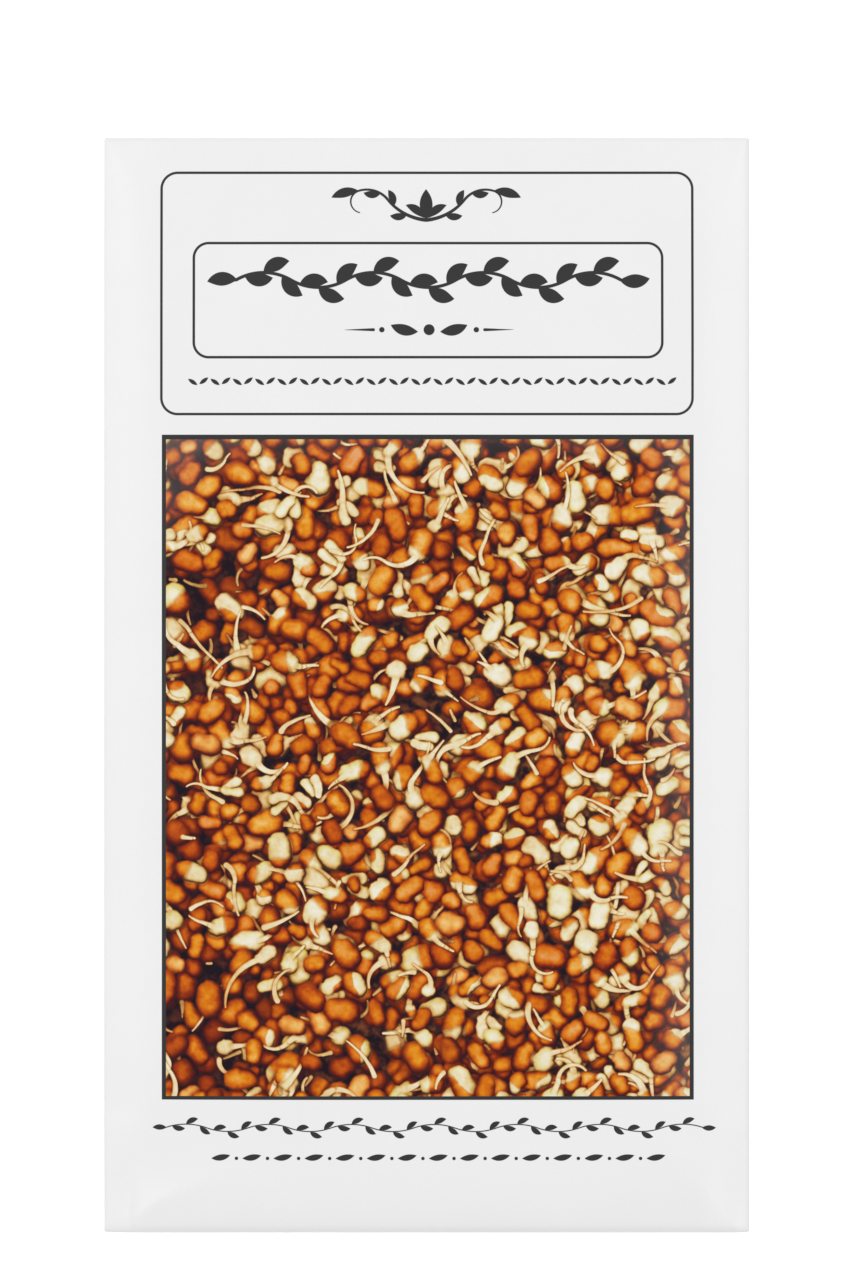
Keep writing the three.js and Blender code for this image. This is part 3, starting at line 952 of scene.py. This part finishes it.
LIGHT = 1.12  # what a white surface that lies flat sends to the camera
HAZE = 0.012  # what the picture's gloss adds
BROWN = [(0, (37, 26, 35)), (0.06, (70, 33, 37)), (0.16, (101, 40, 30)), (0.29, (131, 51, 22)), (0.43, (163, 70, 15)),
         (0.57, (191, 91, 12)), (0.71, (210, 112, 15)), (0.86, (222, 135, 28)), (1.02, (230, 155, 50)), (1.2, (234, 172, 76)),
         (1.4, (238, 192, 112))]
CREAM = [(0, (38, 31, 38)), (0.11, (100, 64, 46)), (0.25, (146, 97, 55)), (0.40, (186, 138, 78)), (0.54, (208, 164, 102)),
         (0.68, (221, 184, 125)), (0.81, (227, 199, 145)), (0.93, (231, 211, 166)), (1.06, (233, 220, 184)),
         (1.22, (236, 228, 202)), (1.4, (240, 235, 218))]


def even_stops(stops, count=28):
    places = [p for p, _ in stops]
    colours = np.array([c for _, c in stops], float)
    made = []
    for t in np.linspace(0, 1, count):
        shown = linear([np.interp(t * 1.4, places, colours[:, k]) for k in range(3)])
        made.append((float(t), tuple(np.maximum(shown - HAZE, 0.0) / LIGHT)))
    return made


def coated(g, shader, colour, rough=0.42, rough_noise=0.06, vector=None, specular=0.42, unit=1.0):
    """The semi-gloss of coated paper, with its fine grain."""
    vector = vector or g.sheet()
    grain = g.noise(vector, 3.2 * unit, 3.0, 0.6)
    g.put(shader.inputs["Base Color"], colour)
    g.put(shader.inputs["Roughness"], g.madd(grain.outputs["Fac"], rough_noise, rough - rough_noise / 2))
    shader.inputs["Specular IOR Level"].default_value = specular
    shader.inputs["IOR"].default_value = 1.47
    bump = g.node("ShaderNodeBump")
    bump.inputs["Strength"].default_value = 0.10
    bump.inputs["Distance"].default_value = 0.00002
    g.put(bump.inputs["Height"], grain.outputs["Fac"])
    g.put(shader.inputs["Normal"], bump.outputs["Normal"])


def picture_material(count, groups):
    material, g, shader = new_material(f"printed_picture_{count}")
    # the place in metres: a point, as the noise wants it, so that no node is worked out late and the stack stays small
    spot, unit = g.node("ShaderNodeTexCoord").outputs["Object"], 1 / MM
    wobble = g.noise(spot, 0.75 * unit, 1.0, 0.5)
    parts = g.node("ShaderNodeSeparateColor", mode="RGB")
    g.put(parts.inputs[0], wobble.outputs["Color"])
    warp_x = g.madd(parts.outputs[0], 0.56, -0.28)
    warp_y = g.madd(parts.outputs[1], 0.56, -0.28)
    x, y, _ = g.three("sheet")
    # what is under the pile: dark, with paler husks to the right
    deep = g.noise(spot, 0.45 * unit, 2.0, 0.6)
    husks = g.madd(x, 0.0123, 0.50, clamp=True)
    bright = g.mul(g.step(deep.outputs["Fac"], 0.40, 0.70), g.madd(husks, 0.26, 0.08))
    cream = g.madd(husks, 0.30, 0.40)
    tint = g.math("MULTIPLY", 0.0, 0.0)
    for k in range(count):
        n = g.node("ShaderNodeGroup", node_tree=groups[k])
        for name, value in (("bright", bright), ("cream", cream), ("tint", tint), ("warp_x", warp_x), ("warp_y", warp_y)):
            g.put(n.inputs[name], value)
        bright, cream, tint = n.outputs["bright"], n.outputs["cream"], n.outputs["tint"]
    mottle = g.noise(spot, 0.62 * unit, 2.5, 0.6)
    bright = g.mul(bright, g.madd(mottle.outputs["Fac"], 1.15, 0.425))
    place = g.mul(bright, 1 / 1.4, clamp=True)
    brown = g.ramp(place, even_stops(BROWN))
    pale = g.ramp(place, even_stops(CREAM))
    brown = g.mix(tint, brown, (0.91, 0.66, 0.90, 1), "MULTIPLY")
    pale = g.mix(tint, pale, (0.875, 0.895, 0.345, 1), "MULTIPLY")
    # painted sheen: the picture turns a pale grey a little towards its right and upper edges and into its upper left
    # corner, where its gloss reflects the light
    fade = g.add(g.step(x, PX1 - 9, PX1 + 3, 0.0, 0.8), g.step(y, PY1 - 6, PY1 + 4, 0.0, 0.6))
    fade = g.add(fade, g.step(g.madd(y, 0.6, g.sub(PX0 - 0.6 * PY1, x)), -14.0, 0.0, 0.0, 0.8), clamp=True)
    cloud = g.noise(spot, 0.2 * unit, 2.0, 0.5)
    fade = g.mul(fade, g.madd(cloud.outputs["Fac"], 0.20, 0.06))
    # the pale grey of the painted sheen
    painted_light = tuple((linear((205, 190, 182)) - HAZE) / LIGHT)
    coated(g, shader, g.mix(fade, g.mix(cream, brown, pale), (*painted_light, 1)), 0.36, 0.05, spot, 0.15, unit)
    return material


PAPER_WHITE = (0.772, 0.772, 0.773)


def paper_colour(g, vector):
    """Bleached paper: faint clouds and fibres, with painted shade along the folds."""
    cloud = g.noise(vector, 0.06, 3.0, 0.55)
    fibre = g.noise(vector, 1.6, 4.0, 0.7, 0.6)
    level = g.madd(cloud.outputs["Fac"], 0.5, g.mul(fibre.outputs["Fac"], 0.5))
    paper = g.ramp(level, [(0.30, tuple(c * 0.985 for c in PAPER_WHITE)), (0.70, tuple(min(1, c * 1.015) for c in PAPER_WHITE))])
    # painted shade: the paper is drawn a little greyer along the folds, most along the bottom and right ones, where
    # the rounded folds turn away from the light
    x, y, _ = g.three("sheet")
    painted_light = None
    for v, at, a, b, amount in (
        (y, -HY - 0.57, 0.3, 1.7, 1.0), (x, HX + 0.39, 0.15, 1.0, 0.9), (y, HY + 0.57, 0.3, 1.1, 0.5), (x, -HX - 0.39, 0.15, 0.8, 0.4),
    ):
        near = g.step(g.math("ABSOLUTE", g.sub(v, at)), a, b, amount, 0.0)
        painted_light = near if painted_light is None else g.math("MAXIMUM", painted_light, near)
    return g.mix(painted_light, paper, (0.92, 0.92, 0.92, 1), "MULTIPLY")


def rounded(g, x, y, x0, x1, y0, y1, r):
    """Distance to a rounded rectangle's outline, negative inside."""
    dx = g.sub(g.math("ABSOLUTE", g.sub(x, (x0 + x1) / 2)), (x1 - x0) / 2 - r)
    dy = g.sub(g.math("ABSOLUTE", g.sub(y, (y0 + y1) / 2)), (y1 - y0) / 2 - r)
    ox, oy = g.math("MAXIMUM", dx, 0.0), g.math("MAXIMUM", dy, 0.0)
    far = g.math("SQRT", g.madd(ox, ox, g.mul(oy, oy)))
    near = g.math("MINIMUM", g.math("MAXIMUM", dx, dy), 0.0)
    return g.sub(g.add(far, near), r)


def front_material(ink_slots):
    """The paper outside the picture, with the frames and, where ink_slots isn't 0, the ornament."""
    material, g, shader = new_material("printed_front" if ink_slots else "plain_front")
    vector = g.sheet()
    x, y, _ = g.three("sheet")
    ink = g.step(rounded(g, x, y, LX0, LX1, LY0, LY1, 0.02), -0.03, 0.03, 1.0, 0.0)
    for box, r, line in (((-41.02, 41.05, 41.86, 79.22), 2.5, 0.197), ((-36.02, 36.38, 50.65, 68.32), 2.3, 0.200)):
        d = g.math("ABSOLUTE", rounded(g, x, y, *box, r))
        ink = g.math("MAXIMUM", ink, g.step(d, line - 0.04, line + 0.04, 1.0, 0.0))
    for k in range(ink_slots):
        length, along, f, past, w, across = arc_part(g, "i", k)
        middle, _, _ = g.three(f"ib{k}")
        w = g.madd(g.mul(middle, f), g.sub(1.0, f), w)
        d = g.sub(g.math("SQRT", g.madd(past, past, g.mul(across, across))), w)
        ink = g.math("MAXIMUM", ink, g.step(d, -0.045, 0.045, 1.0, 0.0))
    paper = paper_colour(g, vector)
    # painted sheen: the paper is a shade greyer over the middle, so that the bands along the sides look lighter, as
    # the side lamps' sheen makes them
    painted_side_sheen = g.step(g.math("ABSOLUTE", x), 41.5, 45.5, 1.0, 0.0)
    paper = g.mix(painted_side_sheen, paper, (0.986, 0.986, 0.986, 1), "MULTIPLY")
    speck = g.noise(vector, 5.0, 2.0, 0.7)
    black = g.ramp(speck.outputs["Fac"], [(0.3, (0.0075, 0.0070, 0.0075)), (0.75, (0.016, 0.015, 0.0155))])
    colour = g.mix(ink, paper, black)
    coated(g, shader, colour, 0.42, 0.06, vector)
    return material


def back_material():
    material, g, shader = new_material("coated_back")
    vector = g.sheet()
    coated(g, shader, paper_colour(g, vector), 0.46, 0.08, vector)
    return material


def raw_material():
    """The uncoated side and the cut edges."""
    material, g, shader = new_material("uncoated_side")
    vector = g.sheet()
    fibre = g.noise(vector, 1.4, 5.0, 0.75, 1.2)
    colour = g.ramp(fibre.outputs["Fac"], [(0.25, (0.70, 0.69, 0.665)), (0.75, (0.80, 0.795, 0.775))])
    g.put(shader.inputs["Base Color"], colour)
    shader.inputs["Roughness"].default_value = 0.85
    shader.inputs["Specular IOR Level"].default_value = 0.25
    bump = g.node("ShaderNodeBump")
    bump.inputs["Strength"].default_value = 0.25
    bump.inputs["Distance"].default_value = 0.00004
    g.put(bump.inputs["Height"], fibre.outputs["Fac"])
    g.put(shader.inputs["Normal"], bump.outputs["Normal"])
    return material


# ---------------------------------------------------------------- the sheet
place, flat, paper, first_column, first_row = folded_sheet()
vertices, sheet_place, outer, inner, walls, jj, ii = thickened(place, flat, paper, PAPER)
front_j, front_i = jj - first_row, ii - first_column
on_front = (front_j >= 0) & (front_j < len(row_lines) - 1) & (front_i >= 0) & (front_i < len(column_lines) - 1)
in_picture = (
    on_front
    & (front_i >= picture_columns[0]) & (front_i < picture_columns[1])
    & (front_j >= picture_rows[0]) & (front_j < picture_rows[1])
)

seeds_drawn = pile()
pic_x = column_lines[picture_columns[0] : picture_columns[1] + 1]
pic_y = row_lines[picture_rows[0] : picture_rows[1] + 1]
pic_table, pic_counts = sort_into_cells(seeds_drawn, pic_x, pic_y, PICTURE_CLASSES[-1], True, 0.28)
ink_drawn = ornament()
ink_table, ink_counts = sort_into_cells(ink_drawn, column_lines, row_lines, INK_SLOTS, False, 0.10, 5)
ink_counts = np.where(ink_counts > 0, ink_counts, 0)
print("shapes:", len(seeds_drawn), "per cell up to", pic_counts.max(), np.bincount(pic_counts.ravel()).tolist(),
      "ink:", len(ink_drawn), "per cell up to", ink_counts.max())

groups = [picture_group(k) for k in range(PICTURE_CLASSES[-1])]
materials = [picture_material(count, groups) for count in PICTURE_CLASSES]
materials += [front_material(INK_SLOTS), front_material(0), back_material(), raw_material()]
PRINTED, PLAIN, BACK, RAW = range(len(PICTURE_CLASSES), len(PICTURE_CLASSES) + 4)

outer_slot = np.full(len(outer), BACK)
ink_here = np.zeros(len(outer), int)
ink_here[on_front] = ink_counts[front_j[on_front], front_i[on_front]]
outer_slot[on_front] = np.where(ink_here[on_front] > 0, PRINTED, PLAIN)
pj, pi = front_j[in_picture] - picture_rows[0], front_i[in_picture] - picture_columns[0]
outer_slot[in_picture] = np.searchsorted(PICTURE_CLASSES, np.minimum(pic_counts[pj, pi], PICTURE_CLASSES[-1]))
faces = np.vstack([outer, inner, walls])
slots = np.concatenate([outer_slot, np.full(len(inner) + len(walls), RAW)])
sachet = mesh_object("printed_sachet", vertices, faces, materials, slots)
mesh = sachet.data
made = mesh.attributes.new("sheet", "FLOAT_VECTOR", "POINT")
made.data.foreach_set("vector", sheet_place.ravel())

outer_xy = sheet_place[outer][..., :2].astype(float)
cells = np.nonzero(in_picture)[0]
write_slots(mesh, "p", seeds_drawn, pic_table[pj, pi], cells, outer_xy[cells], PICTURE_CLASSES[-1], False)
cells = np.nonzero(outer_slot == PRINTED)[0]
write_slots(mesh, "i", ink_drawn, ink_table[front_j[cells], front_i[cells]], cells, outer_xy[cells], INK_SLOTS, True)
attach(sachet, "root")
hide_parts("paper_sachet")


# ---------------------------------------------------------------- glue lines
def between(name, xs, ys, top, under, material):
    """A closed body between two surfaces over the same lines."""
    gx, gy = np.meshgrid(np.asarray(xs, float), np.asarray(ys, float))
    count = gx.size
    points = np.vstack([np.stack([gx, gy, top(gx, gy)], -1).reshape(-1, 3), np.stack([gx, gy, under(gx, gy)], -1).reshape(-1, 3)])
    number = np.arange(count).reshape(gx.shape)
    a, b, c, d = number[:-1, :-1], number[:-1, 1:], number[1:, 1:], number[1:, :-1]
    upper = np.stack([a, b, c, d], -1).reshape(-1, 4)
    lower = np.stack([a, d, c, b], -1).reshape(-1, 4) + count
    rim = np.concatenate([number[0, :], number[1:, -1], number[-1, -2::-1], number[-2:0:-1, 0]])
    step = np.roll(rim, -1)
    sides = np.stack([rim, rim + count, step + count, step], 1)
    return mesh_object(name, points, np.vstack([upper, lower, sides]), [material])


glue_material, g, shader = new_material("dried_glue_film")
spot = g.node("ShaderNodeTexCoord").outputs["Object"]
film = g.noise(spot, 900.0, 3.0, 0.6)
g.put(shader.inputs["Base Color"], g.ramp(film.outputs["Fac"], [(0.3, (0.62, 0.55, 0.38)), (0.7, (0.78, 0.73, 0.58))]))
shader.inputs["Roughness"].default_value = 0.28
bump = g.node("ShaderNodeBump")
bump.inputs["Strength"].default_value = 0.3
bump.inputs["Distance"].default_value = 0.00005
g.put(bump.inputs["Height"], film.outputs["Fac"])
g.put(shader.inputs["Normal"], bump.outputs["Normal"])

GLUE_HALF = GLUE / 2
glue_rows = [y for y in row_lines if abs(y) <= 79.6][::2]
seam = between("seam_glue_line", spread(-5, 5, 8), glue_rows,
               lambda x, y: right_back_z(x, y) + PLY_PITCH / 2 + GLUE_HALF,
               lambda x, y: right_back_z(x, y) + PLY_PITCH / 2 - GLUE_HALF, glue_material)
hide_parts("back_seam_glue")
lines = [seam]
for name, node, y0, y1 in (("bottom_glue_line", "bottom_flap_glue", -82.4, -73.0), ("top_glue_line", "top_flap_glue", 70.0, 82.4)):
    made = between(name, spread(-40, 40, 60), spread(y0, y1, 10),
                   lambda x, y: flap_z(x, y) + PLY_PITCH / 2 + GLUE_HALF,
                   lambda x, y: flap_z(x, y) + PLY_PITCH / 2 - GLUE_HALF, glue_material)
    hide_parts(node)
    lines.append(made)
for made in lines:
    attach(made, "root")


# ---------------------------------------------------------------- the seeds inside
def loose_seeds():
    """Small beans between the panels, in as many layers as fit, clear of the paper."""
    rng = np.random.RandomState(5)
    ring = 6
    unit = [(1.0, 0.0, 0.0)]
    for lat in (45, 0, -45):
        for k in range(ring):
            a = 2 * math.pi * (k + (0.5 if lat == 0 else 0)) / ring
            unit.append((math.sin(math.radians(lat)), math.cos(math.radians(lat)) * math.cos(a), math.cos(math.radians(lat)) * math.sin(a)))
    unit.append((-1.0, 0.0, 0.0))
    unit = np.array(unit)
    tris = []
    for k in range(ring):
        n = (k + 1) % ring
        tris += [(0, 1 + k, 1 + n)]
        for first, second, lean in ((1, 7, 0), (7, 13, 1)):
            if lean == 0:
                tris += [(first + k, second + k, first + n), (first + n, second + k, second + n)]
            else:
                tris += [(first + k, second + n, first + n), (first + k, second + k, second + n)]
        tris += [(13 + k, 19, 13 + n)]
    tris = np.array(tris)

    def low(x, y):
        lap = np.minimum(in_lap(x), PLY_PITCH * smooth((LAP_HALF + LAP_STEP - x) / LAP_STEP))
        return right_back_z(x, y) + lap + PAPER / 2 + 0.12

    def high(x, y):
        return front_z(x, y) - PAPER / 2 - 0.12

    points, faces = [], []
    long, wide, thick = 1.55, 1.05, 0.72
    for layer in range(3):
        for gy in np.arange(-81.0, 79.0, 2.75):
            for gx in np.arange(-46.2, 46.3, 2.75):
                x = gx + rng.uniform(-0.55, 0.55) + (1.37 if layer == 1 else 0)
                y = gy + rng.uniform(-0.55, 0.55) + (1.37 if layer == 1 else 0)
                if abs(x) > 46.4 or y < -82.0 or y > 79.0:
                    rng.uniform(size=3)
                    continue
                room = float(high(x, y) - low(x, y))
                fits = int(room / (2 * thick * 0.82))
                turn, size, roll = rng.uniform(0, math.pi), rng.uniform(0.86, 1.0), rng.uniform(-0.15, 0.15)
                if layer >= max(fits, 1):
                    continue
                levels = min(max(fits, 1), 3)
                slot_high = room / levels
                flatness = min(thick * size, slot_high * 0.46)
                if flatness < 0.22:
                    continue
                z = float(low(x, y)) + slot_high * (layer + 0.5)
                p = unit * (long * size, wide * size, flatness)
                c, s = math.cos(turn), math.sin(turn)
                q = np.stack([p[:, 0] * c - p[:, 1] * s, p[:, 0] * s + p[:, 1] * c, p[:, 2] + roll * 0], 1) + (x, y, z)
                q[:, 2] = np.clip(q[:, 2], low(q[:, 0], q[:, 1]), high(q[:, 0], q[:, 1]))
                faces.append(tris + len(points) * len(unit))
                points.append(q)
    return np.vstack(points), np.vstack(faces), len(points)


seed_material, g, shader = new_material("dry_seed_coat")
spot = g.node("ShaderNodeTexCoord").outputs["Object"]
patch = g.noise(spot, 380.0, 2.0, 0.5)
colour = g.ramp(patch.outputs["Fac"], [(0.30, (0.13, 0.045, 0.012)), (0.52, (0.36, 0.15, 0.035)), (0.72, (0.55, 0.30, 0.09))])
g.put(shader.inputs["Base Color"], colour)
shader.inputs["Roughness"].default_value = 0.48
points, faces, seed_count = loose_seeds()
seeds = mesh_object("loose_seed_fill", points, faces, [seed_material], sharp=180.0)
print("loose seeds:", seed_count, "triangles:", len(faces), "sheet:", len(outer) * 4 + len(walls) * 2)
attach(seeds, "root")
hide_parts("seed_fill")

# ---------------------------------------------------------------- floor, light
floor_material, g, shader = new_material("pale_floor")
spot = g.node("ShaderNodeTexCoord").outputs["Object"]
soft = g.noise(spot, 2.0, 2.0, 0.5)
g.put(shader.inputs["Base Color"], g.ramp(soft.outputs["Fac"], [(0.3, (0.925, 0.925, 0.925)), (0.7, (0.935, 0.935, 0.935))]))
shader.inputs["Roughness"].default_value = 0.9
shader.inputs["Specular IOR Level"].default_value = 0.1
shader.inputs["Emission Color"].default_value = (1, 1, 1, 1)
shader.inputs["Emission Strength"].default_value = 0.36
floor = mesh_object("floor", [(-3000, -3000, -0.05), (3000, -3000, -0.05), (3000, 3000, -0.05), (-3000, 3000, -0.05)], [(0, 1, 2, 3)],
                    [floor_material], smooth_shading=False)

world = bpy.data.worlds.new("studio")
world.use_nodes = True
world.node_tree.nodes["Background"].inputs["Color"].default_value = (1.0, 1.0, 1.0, 1)
world.node_tree.nodes["Background"].inputs["Strength"].default_value = 0.82
bpy.context.scene.world = world


def softbox(name, place_mm, aim_mm, size_mm, power):
    data = bpy.data.lights.new(name, "AREA")
    data.shape = "SQUARE"
    data.size = size_mm * MM
    data.energy = power
    lamp = bpy.data.objects.new(name, data)
    lamp.location = [v * MM for v in place_mm]
    away = np.array(aim_mm, float) - np.array(place_mm, float)
    from mathutils import Vector

    lamp.rotation_euler = Vector(away).to_track_quat("-Z", "Y").to_euler()
    bpy.context.scene.collection.objects.link(lamp)
    return lamp


softbox("left", (-620, 260, 1000), (0, 0, 0), 600, 2.9)
softbox("right", (620, 240, 1000), (0, 0, 0), 600, 2.6)

bpy.context.scene.view_settings.view_transform = "Standard"
bpy.context.scene.view_settings.look = "None"
bpy.context.scene.view_settings.exposure = 0.0
bpy.context.scene.view_settings.gamma = 1.0
